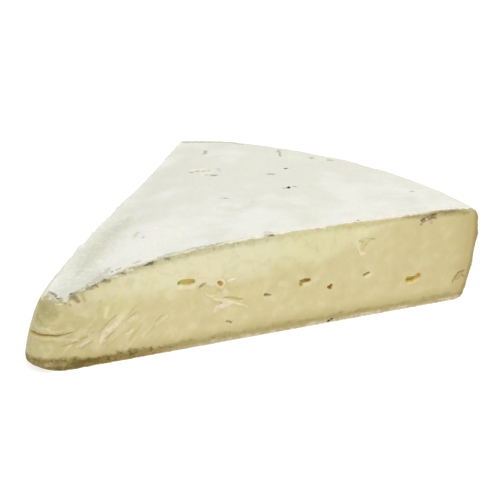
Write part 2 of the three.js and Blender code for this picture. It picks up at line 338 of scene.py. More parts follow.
    # crumbs of the bottom rind round the nose
    dict(path=[(-8.6, 3.2, .9), (-6.6, 2.9, .8)], lift=.2, paint=tone(184, 184, 138), strength=.7),
    dict(path=[(-4.8, 2.4, .6), (-2.6, 2.3, .7)], lift=.1, paint=tone(168, 144, 106), strength=.7),
    dict(path=[(-1.2, 2.2, .7), (3.4, 2.2, .9), (8.0, 2.4, .8)],
         lift=.1, paint=tone(96, 80, 28), strength=.7),
    # the ragged end of the top rind over the nose
    dict(path=[(-9.6, 22.4, 1.0), (-5.6, 22.6, 1.0), (-2.4, 22.6, .9)],
         paint=tone(182, 174, 130), strength=.9, soft=.9),
    dict(path=[(-4.0, 22.6, .35), (-2.6, 22.4, .45), (-1.3, 22.3, .35)],
         lift=.15, paint=tone(228, 223, 184), strength=.75),
    dict(path=[(-1.5, 23.2, .7), (-.2, 23.9, .9), (.5, 24.5, .6)],
         lift=.45, paint=tone(224, 212, 198), strength=.9, soft=.5),
    dict(path=[(-.9, 22.6, .35)], lift=-.2, paint=tone(120, 104, 84), strength=.85),
    dict(path=[(.6, 21.8, .45), (1.0, 21.2, .3)], lift=-.2, paint=tone(160, 148, 112), strength=.7),
    dict(path=[(1.2, 24.9, .5), (1.8, 25.3, .45)], lift=-.3, paint=tone(134, 120, 84), strength=.9),
    dict(path=[(.9, 23.4, .5), (2.2, 23.6, .6)], lift=-.2, paint=tone(168, 156, 112), strength=.7, soft=.8),
    dict(path=[(2.0, 24.0, .6), (2.8, 22.8, .7)], lift=-.3, paint=tone(150, 138, 92), strength=.85, soft=.5),
    dict(path=[(4.4, 24.4, .5), (4.8, 22.6, .6)], lift=-.2, paint=tone(176, 164, 112), strength=.6, soft=.7),
    dict(path=[(3.8, 26.3, .5), (5.2, 26.3, .45)], lift=.3, paint=tone(234, 230, 210), strength=.8, soft=.6),
    dict(path=[(9.3, 28.1, .4), (9.9, 28.0, .35)], lift=.3, paint=tone(236, 232, 214), strength=.8, soft=.6),
    dict(path=[(13.6, 29.2, .6), (15.0, 28.9, .5)], lift=.3, paint=tone(234, 230, 212), strength=.8, soft=.6),
    dict(path=[(16.6, 29.4, .4), (17.6, 29.0, .4)], lift=-.3, paint=tone(138, 128, 90), strength=.8),
    dict(path=[(18.2, 30.3, .5), (20.0, 30.2, .5)],
         lift=.25, paint=tone(234, 230, 212), strength=.7, soft=.6),
    dict(path=[(6.0, 26.0, .5), (7.6, 26.2, .5)], lift=-.3, paint=tone(142, 134, 90), strength=.85),
    dict(path=[(8.4, 27.0, .45), (9.2, 26.2, .4)], lift=-.3, paint=tone(140, 128, 88), strength=.85),
    dict(path=[(10.6, 28.2, .6), (12.6, 27.6, .7)], lift=-.35, paint=tone(132, 122, 88), strength=.85),
    dict(path=[(23.4, 31.0, .6), (25.0, 31.2, .7), (26.6, 31.3, .4)],
         lift=-.3, paint=tone(102, 104, 66), strength=.9),
    dict(path=[(30.2, 31.9, .4), (31.2, 32.0, .4)], lift=-.2, paint=tone(130, 122, 86), strength=.8),
    dict(path=[(62.6, 34.9, .45), (64.4, 34.6, .5), (65.6, 34.3, .35)],
         lift=-.3, paint=tone(140, 132, 108), strength=.85, ragged=.8),
    dict(path=[(81.4, 34.9, .5), (83.0, 34.7, .45)], lift=.3, paint=tone(244, 240, 236), strength=.75),
]
backMarks = [
    dict(path=[(15, 9, .6), (19, 13, .8)], lift=.25, paint=pinkWhite, strength=.6),
    dict(path=[(24, 11, .5), (30, 16, .6)], lift=.2, paint=pinkWhite, strength=.55),
    # an olive groove beside the streak, partly painted shade
    dict(path=[(25.5, 10.4, .25), (30.6, 14.6, .25)], lift=-.2, paint=olive, strength=.6),
    dict(path=[(60, 20.5, .4), (67, 17.2, .5), (72, 16.6, .3)], lift=.25, paint=cream, strength=.6),
    dict(path=[(61, 19, 1.2), (66, 15.5, 1.6)], lift=-.25, paint=butter, strength=.5, soft=.6),
    dict(path=[(95, 8.2, .25), (97, 9.6, .3)], lift=-.3, paint=deepOlive, strength=.7),
    dict(path=[(120, 17, .3), (122, 20, .3), (125, 21, .25)], lift=-.35, paint=deepOlive, strength=.6),
    dict(path=[(41, 24.4, 1.0), (44, 25.0, .8)], lift=-.3, paint=butter, strength=.6, soft=.5),
]

topMarks = [
    # greener and greyer felt where the rind sinks towards the nose and the back cut
    dict(path=[(6, 12, 6), (15, 24, 8), (24, 36, 6), (29, 42, 3)],
         paint=tone(204, 206, 178), strength=.75, soft=1.2),
    dict(path=[(0, 5, 6), (8, 6, 7)], paint=tone(208, 208, 190), strength=.6, soft=1.1),
    dict(path=[(7, 1.0, 1.1), (12.5, 1.0, 1.1)], paint=tone(206, 200, 168), strength=.6, soft=1.0),
    dict(path=[(34, 1.0, 1.0), (47, 1.0, 1.0)], paint=tone(234, 232, 217), strength=.6, soft=1.0),
    dict(path=[(6, 1.6, 1.6), (10, 2.6, 2.2), (14, 6, 2.2)],
         paint=tone(190, 186, 156), strength=.65, soft=1.1),
    dict(path=[(26, 26, 3), (31, 17, 4)], paint=tone(240, 234, 224), strength=.6, soft=1.0),
    # the rind broken away from the sunken end
    dict(path=[(-5.4, 8.6, 1.3), (-4.6, 6.5, 1.5), (-3.6, 4.0, 1.5), (-2.4, 1.6, 1.3)],
         paint=tone(190, 182, 140), strength=.95, ragged=.6),
    dict(path=[(-4.2, 8.9, .3), (-3.7, 7.7, .35), (-2.9, 6.2, .4), (-2.5, 3.8, .55), (-1.7, 1.6, .6)],
         lift=-.3, paint=tone(108, 94, 58), strength=.95, ragged=.8),
    dict(path=[(-4.6, 7.4, .25), (-3.5, 5.2, .3), (-2.9, 3.0, .35)],
         lift=.12, paint=tone(230, 225, 198), strength=.75, ragged=.8),
    # a scrape, with felt lifted beside it
    dict(path=[(59.8, 72.3, .7), (60.8, 71.7, .7)], lift=-.3, paint=tone(132, 126, 104), strength=.9),
    dict(path=[(62.2, 71.6, .8), (63.8, 71.2, .9)], lift=-.15, paint=tone(194, 184, 158), strength=.85),
    dict(path=[(65.2, 70.8, .7), (67.4, 70.4, .9)], lift=-.2, paint=tone(180, 168, 142), strength=.85),
    dict(path=[(64.2, 65.6, .7), (65.2, 65.1, .6)], lift=-.15, paint=tone(190, 180, 152), strength=.85),
    dict(path=[(66.4, 64.0, .8), (67.8, 63.3, .8)], lift=-.3, paint=tone(140, 134, 108), strength=.9),
    dict(path=[(61.6, 73.8, .9), (65.2, 73.0, 1.0)], lift=.25, paint=tone(244, 238, 222), strength=.8),
    dict(path=[(63.4, 67.6, .9), (67.4, 66.2, 1.0)], lift=.25, paint=tone(242, 236, 220), strength=.8),
    dict(path=[(70.4, 67.0, .8), (71.2, 70.8, .7)], lift=-.1, paint=tone(204, 202, 178), strength=.7),
    # pin marks and specks
    dict(path=[(73.4, 93.6, 1.0), (75.0, 98.0, .9)], lift=-.3, paint=tone(156, 158, 130), strength=.85),
    dict(path=[(61.6, 38.4, .7), (63.4, 37.7, .7)], lift=-.25, paint=tone(140, 140, 118), strength=.85),
    dict(path=[(86.2, 56.4, .8), (88.0, 55.5, .8)], lift=-.2, paint=tone(154, 154, 130), strength=.9),
    dict(path=[(95.3, 60.6, .8)], lift=-.2, paint=tone(70, 64, 50), strength=.95, soft=.5, ragged=.4),
    dict(path=[(87.2, 38.8, .95)], lift=.3, paint=tone(18, 16, 12), strength=1, soft=.3, ragged=.4),
    dict(path=[(85.3, 39.4, .45), (86.0, 39.2, .5)], lift=-.1, paint=tone(104, 100, 84), strength=.85),
    dict(path=[(89.3, 39.6, .45), (90.0, 39.2, .5)], lift=-.1, paint=tone(124, 122, 104), strength=.8),
    dict(path=[(103.2, 87.0, 1.1), (101.6, 82.0, .8), (100.0, 77.4, .4)],
         lift=-.4, paint=tone(172, 172, 132), strength=.85),
    dict(path=[(111.5, 71.9, 1.1)], lift=-.3, paint=tone(146, 136, 98), strength=.85),
    dict(path=[(63.0, 2.2, .7), (64.4, 1.4, .8), (65.8, .4, .6)],
         lift=-.25, paint=tone(158, 152, 134), strength=.8),
    dict(path=[(95.2, .6, .6)], lift=-.2, paint=tone(140, 132, 104), strength=.85),
    dict(path=[(116.5, 66.5, 1.0), (117.4, 64.6, .7)], lift=-.25, paint=tone(160, 148, 112), strength=.75),
    dict(path=[(127.2, 20.6, 1.1)], lift=-.2, paint=tone(172, 172, 154), strength=.8),
    dict(path=[(25.8, 21.2, .7), (27.4, 23.4, .8)], lift=-.15, paint=tone(188, 191, 166), strength=.7),
    dict(path=[(27.9, 18.4, .7)], lift=-.15, paint=tone(156, 156, 132), strength=.8),
    dict(path=[(57.0, 29.0, 2.6), (64.0, 24.5, 3.0), (70.0, 31.0, 2.4)],
         lift=-.1, paint=tone(216, 219, 204), strength=.5, soft=1.1),
    dict(path=[(14.4, 2.9, .55)], lift=-.2, paint=tone(112, 106, 84), strength=.9),
    dict(path=[(15.8, 2.8, .55), (16.8, 3.0, .5)], lift=-.2, paint=tone(116, 110, 86), strength=.9),
    dict(path=[(21.2, 2.8, .7), (22.6, 2.7, .6)], lift=-.2, paint=tone(158, 160, 138), strength=.7),
    dict(path=[(17.0, 1.5, .8), (21.0, .9, .6)], lift=.35, paint=tone(250, 246, 236), strength=.8),
    dict(path=[(5.6, 1.2, .5), (7.2, 1.0, .5)], lift=.25, paint=tone(238, 234, 216), strength=.7),
    # the lifted lip of the rim at the far corner
    dict(path=[(70.5, 116.6, 1.1), (75.0, 114.0, 1.3), (82.0, 109.8, 1.2), (88.4, 104.8, 1.2),
               (92.0, 98.6, .8)],
         
         lift=-.2, paint=tone(180, 182, 148), strength=.75, soft=.5),
]
faceMarks = dict(cut=frontMarks + eyes, back=backMarks + backEyes, top=topMarks)


# How far into a mark each point is, 0 outside it to 1 well inside, and how far along its path.
def insideMark(mark, points, ragged, eye):
    path = np.array(mark["path"], float)
    starts, ends = (path, path) if len(path) == 1 else (path[:-1], path[1:])
    nearest = np.full(len(points), 1e9)
    share = np.zeros(len(points))
    for i, (start, end) in enumerate(zip(starts, ends)):
        run = end[:2] - start[:2]
        t = np.clip(((points - start[:2]) @ run) / max(run @ run, 1e-9), 0, 1)
        away = np.linalg.norm(points - start[:2] - t[:, None] * run, axis=1)
        taper = 1 - (0 if eye else .5) * (2 * (i + t) / len(starts) - 1) ** 4 * (len(path) > 2)
        ratio = away / ((start[2] + (end[2] - start[2]) * t) * taper)
        closer = ratio < nearest
        nearest[closer] = ratio[closer]
        share[closer] = (i + t[closer]) / len(starts)
    return 1 - smoothStep(nearest + ragged, 1.2 - mark.get("soft", .5 if eye else .8), 1.2), share


def distanceToMarks(marks, points):
    least = np.full(len(points), 1e9)
    for mark in marks:
        path = np.array(mark["path"], float)
        for start, end in zip(path, path if len(path) == 1 else path[1:]):
            run = end[:2] - start[:2]
            t = np.clip(((points - start[:2]) @ run) / max(run @ run, 1e-9), 0, 1)
            away = np.linalg.norm(points - start[:2] - t[:, None] * run, axis=1)
            least = np.minimum(least, away - start[2])
    return np.maximum(0, least)


# The mesh is finest where there is most to see. Each is the edge length at the place, and its growth per
# millimetre away from it.
fineness = dict(
    anywhere=(4.0, 0), top=(1.25, .3), heel=(1.3, .3), front=(.8, .3), back=(1.0, .3), nose=(.5, .3),
    frontTopEdge=(.4, .28), backTopEdge=(.6, .3), frontBaseEdge=(.5, .3), backBaseEdge=(.8, .3),
    marks=(.34, .28),
)
meshing = dict(blockCuts=(24, 10, 6), rounds=14, slack=1.3)      # an edge over slack times too long is cut


def wantedLength(share, place, measures):
    on = whereOnSkin(share, place, measures)
    fromTop, fromBase = measures["belowTop"], measures["aboveBase"]
    fromRim = np.maximum(0, measures["inFromRim"])
    fromFront = place[:, 1]
    fromBack = measures["distance"] * np.sin(wedge["cutAngle"] * (1 - share[:, 1]))
    fromNose = measures["distance"] - noseDistance(share[:, 1] * wedge["cutAngle"])
    frontOrNose = np.minimum(fromFront, fromNose)
    away = dict(
        anywhere=0 * fromTop, top=fromTop, heel=fromRim, front=fromFront, back=fromBack, nose=fromNose,
        frontTopEdge=np.maximum(fromTop, frontOrNose), backTopEdge=np.maximum(fromTop, fromBack),
        frontBaseEdge=np.maximum(fromBase, frontOrNose), backBaseEdge=np.maximum(fromBase, fromBack),
    )
    onCut = np.stack([on["along"], place[:, 2]], 1)
    onBack = np.stack([on["backAlong"], place[:, 2]], 1)
    away["marks"] = np.where(
        on["front"] | on["nose"], distanceToMarks(faceMarks["cut"], onCut),
        np.where(on["back"], distanceToMarks(faceMarks["back"], onBack),
                 np.where(on["top"], distanceToMarks(faceMarks["top"], place[:, :2]), 1e3)))
    return np.min([size + growth * away[name] for name, (size, growth) in fineness.items()], axis=0)


def makeBlock():
    bm = bmesh.new()
    bmesh.ops.create_cube(bm, size=1)
    bmesh.ops.translate(bm, verts=bm.verts, vec=(.5, .5, .5))
    for axis, cuts in enumerate(meshing["blockCuts"]):
        edges = [e for e in bm.edges if abs(e.verts[0].co[axis] - e.verts[1].co[axis]) > 1e-6]
        bmesh.ops.subdivide_edges(bm, edges=edges, cuts=cuts, use_grid_fill=True)
    bmesh.ops.triangulate(bm, faces=bm.faces)
    return bm


def refine(bm):
    for turn in range(meshing["rounds"]):
        bm.verts.index_update()
        share = np.array([v.co[:] for v in bm.verts])
        place, measures = placeOnWedge(share)
        wanted = wantedLength(share, place, measures)
        ends = np.array([(e.verts[0].index, e.verts[1].index) for e in bm.edges])
        length = np.linalg.norm(place[ends[:, 0]] - place[ends[:, 1]], axis=1)
        tooLong = length > meshing["slack"] * wanted[ends].mean(1)
        if not tooLong.any():
            break
        bmesh.ops.subdivide_edges(bm, edges=[e for e, split in zip(bm.edges, tooLong) if split], cuts=1)
        bmesh.ops.triangulate(bm, faces=[f for f in bm.faces if len(f.verts) > 3])


def roughness(points, size, octaves=3, shift=0.0):
    scaled = points / size + shift
    return np.array([noise.fractal(p, .8, 2.0, octaves) for p in scaled.tolist()])


def setPlaces(mesh, place):
    mesh.vertices.foreach_set("co", place.astype(np.float32).ravel())
    mesh.update()


def getNormals(mesh):
    normals = np.zeros(len(mesh.vertices) * 3, np.float32)
    mesh.vertices.foreach_get("normal", normals)
    return normals.reshape(-1, 3).astype(float)


relief = dict(
    topSwell=.55, topSwellSize=26.0, swellFromNose=5.0,       # slow waves of the rind, none beside the nose
    feltPile=.10, feltSize=2.2,
    pasteWave=.30, pasteWaveSize=17.0, waveBelowTop=3.0,      # the knife's drag on the cut faces
    pasteGrain=.07, pasteGrainSize=3.0,
    markWobbleSize=1.3, markStray=.4, markStraySize=2.6,      # keeps the marks' outlines from being smooth
    fringe=.3, fringeSize=1.5, fringeReach=1.9, notchSize=3.6,        # the top rind's torn edge
    lipRound=.25, lipReach=1.3,
    footFringe=.28, footFringeReach=3.2, footFringeSize=1.6, offBase=1.2,
    heelWrinkle=.45, heelWrinkleSize=11.0, wrinkleStretch=1.6,
    backOverhang=.8,                          # how far the felt hangs over the back cut
    tintReach=3.0,                            # how far on the top the felt is tinted beside the front cut
    noseFade=(-4.5, -1.5), crumbFade=(-5, -1.5),      # along x, so that the top runs into the nose smoothly
)

# Shifts that keep the clouds of noise apart.
shifts = dict(
    swell=3.1, heel=7.7, wave=11.3, wobble=5.5, stray=(61.0, 73.0), felt=1.9, grain=9.2,
    tear=(21.0, 33.0, 45.0), foot=55.0,
)
layerSlots = dict(FLOAT="value", FLOAT_VECTOR="vector", FLOAT_COLOR="color")


def shapeCheese(mesh):
    count = len(mesh.vertices)
    share = np.zeros(count * 3, np.float32)
    mesh.vertices.foreach_get("co", share)
    share = np.clip(share.reshape(-1, 3).astype(float), 0, 1)
    place, measures = placeOnWedge(share)
    on = whereOnSkin(share, place, measures)
    setPlaces(mesh, place)
    normals = getNormals(mesh)
    fromTop, fromBase, fromRim = measures["belowTop"], measures["aboveBase"], measures["inFromRim"]
    offBase = smoothStep(fromBase, 0, relief["offBase"])

    # slow shapes first
    besideNose = measures["distance"] - noseDistance(share[:, 1] * wedge["cutAngle"])
    swell = relief["topSwell"] * roughness(place, relief["topSwellSize"], 2, shifts["swell"])
    swell = swell * smoothStep(besideNose, 0, relief["swellFromNose"])
    upright = place * [1, 1, relief["wrinkleStretch"]]
    heel = relief["heelWrinkle"] * roughness(upright, relief["heelWrinkleSize"], 3, shifts["heel"])
    wave = relief["pasteWave"] * roughness(place, relief["pasteWaveSize"], 2, shifts["wave"])
    wave = wave * smoothStep(fromTop, 0, relief["waveBelowTop"])
    push = np.where(on["top"], swell, np.where(on["heel"], heel, np.where(on["cut"], wave, 0))) * offBase
    setPlaces(mesh, place + normals * push[:, None])
    normals = getNormals(mesh)
    place = place + normals * push[:, None]

    # then the marks, with their paint
    wobble = roughness(place, relief["markWobbleSize"], 2, shifts["wobble"])
    stray = np.stack([
        relief["markStray"] * roughness(place, relief["markStraySize"], 3, shift) for shift in shifts["stray"]
    ], 1)
    lift = np.zeros(count)
    paint = np.zeros((count, 4))
    for face, flat in (("cut", np.stack([on["along"], measures["aboveBase"]], 1)),
                       ("back", np.stack([on["backAlong"], measures["aboveBase"]], 1)),
                       ("top", place[:, :2])):
        here = {"cut": on["front"] | on["nose"], "back": on["back"], "top": on["top"]}[face]
        for mark in faceMarks[face]:
            eye = mark in eyes + backEyes
            ragged = wobble * mark.get("ragged", .9 if face == "top" else .45)
            strayed = flat + stray * (.5 if eye else mark.get("stray", 1))
            inside, along = insideMark(mark, strayed, ragged, eye)
            inside = np.where(here, inside, 0)
            lift += mark.get("lift", 0) * inside
            broken = 1 if eye else np.clip(.9 + .9 * wobble, .3, 1)
            cover = (mark.get("strength", 1) * inside * broken)[:, None]
            first = np.array(mark["paint"])
            blended = first + along[:, None] * (np.array(mark.get("tip", mark["paint"])) - first)
            paint = paint * (1 - cover) + np.concatenate([blended, np.ones((count, 1))], 1) * cover

    # then felt, grain and the ragged edges of the rind
    felt = relief["feltPile"] * roughness(place, relief["feltSize"], 3, shifts["felt"])
    grain = relief["pasteGrain"] * roughness(place, relief["pasteGrainSize"], 2, shifts["grain"])
    lift += np.where(on["cut"], grain, felt) * offBase
    atTopEdge = 1 - smoothStep(fromTop, 0, relief["fringeReach"])
    topEdge = np.where(on["cut"], atTopEdge, 0)
    besideFront = place[:, 1]
    besideCut = np.minimum(besideFront, measures["distance"] * np.sin(wedge["cutAngle"] * (1 - share[:, 1])))
    besideCut = np.minimum(besideCut, besideNose)
    topEdge = np.maximum(topEdge, np.where(on["top"], 1 - smoothStep(besideCut, 0, relief["fringeReach"]), 0))
    outward = measures["distance"] - wedge["cutsMeetBeyond"] - measures["creep"]
    reach = np.where(on["front"] | on["nose"], on["along"], outward)
    crumbly = 1 - .75 * smoothStep(reach, 55, 72) + .55 * smoothStep(reach, 112, 122)
    crumbly = crumbly * smoothStep(place[:, 0], *relief["crumbFade"])
    notched = crumbly + .4 + 1.3 * (1 - smoothStep(reach, 14, 34))
    tear = np.stack([
        roughness(place, relief["fringeSize"], 2, shift)
        + notched * roughness(place, relief["notchSize"], 1, shift)
        for shift in shifts["tear"]
    ], 1)
    pastNose = smoothStep(place[:, 0], *relief["noseFade"])
    lip = relief["lipRound"] * (1 - smoothStep(fromTop, 0, relief["lipReach"])) * pastNose
    lift -= np.where(on["cut"], lip, 0)
    footFade = 1 - smoothStep(fromBase, relief["offBase"], relief["footFringeReach"])
    foot = np.where(on["cut"], footFade, 0) * offBase
    footTear = relief["footFringe"] * (roughness(place, relief["footFringeSize"], 2, shifts["foot"]) + .35)
    place = place + normals * (lift + foot * footTear)[:, None]
    topEdge = topEdge * smoothStep(place[:, 0], *relief["noseFade"])
    place += relief["fringe"] * topEdge[:, None] * tear * [.8, .8, .9]
    place[fromBase < 1e-4, 2] = 0
    place[:, 2] = np.maximum(place[:, 2], 0)
    setPlaces(mesh, (place + wheelCentre) * mm)

    # what the material reads: how far in from each skin a point is, where it lies, and how deep under the rind
    skin = np.stack([fromTop, fromBase, np.maximum(0, fromRim)], 1)
    byCut = np.where(on["top"], 1 - smoothStep(besideFront, 0, relief["tintReach"]), on["cut"])
    lie = np.stack([reach, byCut, crumbly], 1)
    overhang = relief["backOverhang"] * smoothStep(-on["along"], 8, 12) * on["cut"]
    depth = np.maximum(0, depthUnderRind(measures) - overhang)
    layers = (
        ("skin", "FLOAT_VECTOR", skin), ("lie", "FLOAT_VECTOR", lie),
        ("depth", "FLOAT", depth), ("paint", "FLOAT_COLOR", paint),
    )
    for name, kind, values in layers:
        layer = mesh.attributes.new(name, kind, "POINT")
        layer.data.foreach_set(layerSlots[kind], values.astype(np.float32).ravel())


# Shader maths: a Wire is one socket, and Python's operators on it add Math nodes.
class Wire:
    def __init__(self, tree, socket):
        self.tree, self.socket = tree, socket

    def add(self, kind, settings=None, sockets=None, output=0):
        node = self.tree.nodes.new(kind)
        for name, value in (settings or {}).items():
            setattr(node, name, value)
        for key, value in (sockets or {}).items():
            if isinstance(value, Wire):
                self.tree.links.new(value.socket, node.inputs[key])
            else:
                node.inputs[key].default_value = value
        return Wire(self.tree, node.outputs[output])

    def maths(self, operation, *values):
        return self.add("ShaderNodeMath", {"operation": operation}, dict(enumerate(values)))

    def __add__(self, other):
        return self.maths("ADD", self, other)

    def __sub__(self, other):
        return self.maths("SUBTRACT", self, other)

    def __rsub__(self, other):
        return self.maths("SUBTRACT", other, self)

    def __mul__(self, other):
        return self.maths("MULTIPLY", self, other)

    __radd__, __rmul__ = __add__, __mul__

    def least(self, other):
        return self.maths("MINIMUM", self, other)

    def step(self, start, end):
        return self.add("ShaderNodeMapRange", {"interpolation_type": "SMOOTHSTEP"},
                        {"Value": self, "From Min": start, "From Max": end})

    def tint(self, under, over):
        return self.add("ShaderNodeMix", {"data_type": "RGBA"}, {0: self, 6: under, 7: over}, 2)

    def split(self):
        parts = self.add("ShaderNodeSeparateXYZ", None, {0: self})
        return [Wire(self.tree, out) for out in parts.socket.node.outputs]


def colour(red, green, blue):
    return (*tone(red, green, blue), 1)


tones = dict(
    pasteMiddle=colour(206, 194, 145), pasteHeel=colour(200, 187, 136), pasteCream=colour(220, 214, 178),
    # pasteNoseAndShade is partly painted shade at the sunken nose
    pasteGolden=colour(214, 208, 157), pasteNoseAndShade=colour(190, 179, 127), pastePatch=colour(220, 207, 168),
    pasteGreen=colour(200, 192, 126), pasteSpeckle=colour(224, 216, 178),
    pasteShade=colour(194, 180, 124), pasteCloud=colour(206, 194, 136), pasteByRim=colour(182, 165, 106),
    pasteByFoot=colour(184, 168, 112), dragGreen=colour(212, 208, 138), dragPale=colour(222, 208, 178),
    # dragShade is painted shade of the knife's drag streaks
    # topCrumbsAndShade is the rind's grey crumbs, partly painted shade under the felt's edge
    dragShade=colour(176, 164, 104), topCrumbsAndShade=colour(184, 179, 139), topDark=colour(142, 134, 92),
    footByNose=colour(122, 102, 40), footFurther=colour(172, 157, 104), footPatch=colour(156, 134, 70),
    footDark=colour(88, 74, 30), lipShade=colour(184, 168, 132), lipPale=colour(211, 199, 171),
    litterPale=colour(192, 186, 142), litterTan=colour(178, 150, 112), rimBrown=colour(150, 128, 74),
    feltShade=colour(230, 231, 217), feltLight=colour(240, 240, 230), feltGrey=colour(218, 218, 198),
    feltWarm=colour(240, 232, 216), feltFleck=colour(206, 206, 184), feltByNose=colour(222, 217, 190),
    feltByCut=colour(235, 229, 216), feltCrumb=colour(168, 160, 118), heelTan=colour(213, 205, 176),
)
# Where each zone of the cheese starts and ends, in millimetres below the top, above the base, in from the rim,
# or from the nose.
zones = dict(
    creamHeight=18, creamRise=11, topBand=(1.3, 3.4), topDark=(1.0, 2.2), footBand=(2.3, 3.9),
    footLip=(.9, 2.0), litter=(4.4, 6.4), rimBand=(.5, 2.4), byRim=(0, 12), byFoot=(2.8, 7), nose=(1, 26),
)
finish = dict(
    pasteRoughness=.50, feltRoughness=.92, bumpStrength=.5, bumpDepth=.35,
    glow=.25, glowRadius=(1.0, .7, .35), glowScale=2.5,      # light passes a little way into the paste
    gloss=.35,
)


def makeCheese():
    material = bpy.data.materials.new("bloomy_rind_and_paste")
    material.use_nodes = True
    tree = material.node_tree
    shader = tree.nodes["Principled BSDF"]
    start = Wire(tree, None)
    place = start.add("ShaderNodeVectorMath", {"operation": "SCALE"},
                      {0: start.add("ShaderNodeTexCoord", output=3), "Scale": 1 / mm})

    def cloud(size, detail=3.0, shift=0.0, stretch=(1, 1, 1)):
        moved = place.add("ShaderNodeMapping", None,
                          {"Vector": place, "Location": (shift, shift, shift), "Scale": stretch})
        field = moved.add("ShaderNodeTexNoise", None, {"Vector": moved, "Scale": 1 / size, "Detail": detail})
        return field - .5

    def stored(name, output):
        return start.add("ShaderNodeAttribute", {"attribute_name": name}, output=output)

    fromTop, fromBase, fromRim = stored("skin", 1).split()
    reach, byCut, crumbly = stored("lie", 1).split()
    paint, cover = stored("paint", 0), stored("paint", 3)

    # paste: cream under the top, butter below and towards the heel, olive at the sunken nose, partly painted
    # shade
    patches, blotches = cloud(13, 2, 4.0), cloud(4.5, 3, 17.0)
    creamLine = zones["creamHeight"] + reach * .07 + reach.step(80, 122) * zones["creamRise"]
    creamy = (fromBase + patches * 11 + blotches * 4 - creamLine).step(-4, 5)
    paste = reach.step(90, 140).tint(tones["pasteMiddle"], tones["pasteHeel"])
    paste = creamy.tint(paste, tones["pasteCream"])
    paste = (creamy * reach.step(58, 80) * (1 - reach.step(92, 108)) * .7).tint(paste, tones["pasteGolden"])
    nose = 1 - (reach + fromBase.step(10, 22) * 4 + patches * 12 + blotches * 5).step(*zones["nose"])
    paste = (nose * .9).tint(paste, tones["pasteNoseAndShade"])
    calm = 1 - reach.step(75, 110) * .5
    paste = ((blotches + patches).step(.04, .24) * calm * .3).tint(paste, tones["pastePatch"])
    paste = (cloud(6, 3, 31.0).step(.07, .2) * .3).tint(paste, tones["pasteGreen"])
    speckle = cloud(3.4, 4, 44.0)
    paste = ((speckle + blotches * .8).step(.0, .22) * calm * .28).tint(paste, tones["pasteSpeckle"])
    paste = ((0 - speckle - blotches * .8).step(.02, .24) * .34).tint(paste, tones["pasteShade"])
    paste = (cloud(3.2, 3, 90.0, (.45, 1, 1)).step(.06, .2) * .35).tint(paste, tones["pasteCloud"])
    paste = ((1 - (fromRim + patches * 5).step(*zones["byRim"])) * .85).tint(paste, tones["pasteByRim"])
    paste = ((1 - (fromBase + patches * 2.5).step(*zones["byFoot"])) * .7).tint(paste, tones["pasteByFoot"])

    # the knife's drag shows as slanting pale and darker streaks near the nose; the darker ones are painted
    # shade
    drag = place.add("ShaderNodeVectorRotate", {"rotation_type": "Y_AXIS"},
                     {"Vector": place, "Angle": math.radians(45)})
    drag = drag.add("ShaderNodeMapping", None, {"Vector": drag, "Scale": (.16, .5, 1.1)})
    drag = drag.add("ShaderNodeTexNoise", None, {"Vector": drag, "Scale": .9, "Detail": 3.0}) - .5
    greenish = (drag - patches * .5).step(.02, .12) * (reach + 2).step(0, 5)
    greenish = greenish * (1 - reach.step(12, 26)) * fromBase.step(9, 14)
    paste = (greenish * (1 - fromBase.step(21, 26)) * .45).tint(paste, tones["dragGreen"])
    dragged = (1 - reach.step(14, 44)) * (1 - (fromBase + patches * 5).step(14, 20)) * reach.step(-6, 0)
    paste = (drag.step(.07, .22) * dragged * .5).tint(paste, tones["dragPale"])
    paste = ((0 - drag).step(.08, .2) * dragged * .5).tint(paste, tones["dragShade"])

    # the rind's cut edge: grey crumbs under the top, their band partly painted shade under the felt's edge;
    # olive brown over the base
    jag, fleck = cloud(1.5, 4, 3.0), cloud(.8, 3, 8.0)
    topBand = 1 - (fromTop - jag * 2.2 - patches).step(*zones["topBand"])
    edge = (topBand * (.2 + crumbly * .5)).tint(paste, tones["topCrumbsAndShade"])
    darkTop = (1 - (fromTop - jag * 2.6).step(*zones["topDark"])) * (fleck + jag * .8).step(.0, .16) * crumbly
    edge = (darkTop * .45).tint(edge, tones["topDark"])
    atNose = 1 - reach.step(-5, 6)
    footBand = 1 - (fromBase - cloud(7, 3, 12.0) * 4.5 - jag * 1.4 - atNose * 2.2).step(*zones["footBand"])
    edge = (footBand * .9).tint(edge, reach.step(6, 46).tint(tones["footByNose"], tones["footFurther"]))
    footPatch = cloud(3.4, 4, 66.0)
    patchy = footBand * footPatch.step(.02, .16) * (.75 - reach.step(10, 60) * .45)
    edge = patchy.tint(edge, tones["footPatch"])
    flecked = footBand * (fleck + jag).step(.06, .2) * (1 - reach.step(12, 60) * .75) * .7
    edge = flecked.tint(edge, tones["footDark"])
    lip = (1 - (fromBase - jag * 1.5 - footPatch * 1.5).step(*zones["footLip"])) * reach.step(20, 44)
    lipTone = (footPatch + fleck * .5).step(-.12, .14).tint(tones["lipShade"], tones["lipPale"])
    edge = (lip * .85).tint(edge, lipTone)
    litter = (1 - (fromBase - jag * 3.0).step(*zones["litter"])) * (1 - reach.step(-3, 8))
    edge = (litter * (0 - fleck - jag * .5).step(.06, .2) * .4).tint(edge, tones["litterPale"])
    edge = (litter * (jag + fleck * .5).step(.06, .2) * .5).tint(edge, tones["litterTan"])
    rimBand = 1 - (fromRim - jag).step(*zones["rimBand"])
    edge = (rimBand * .8).tint(edge, tones["rimBrown"])

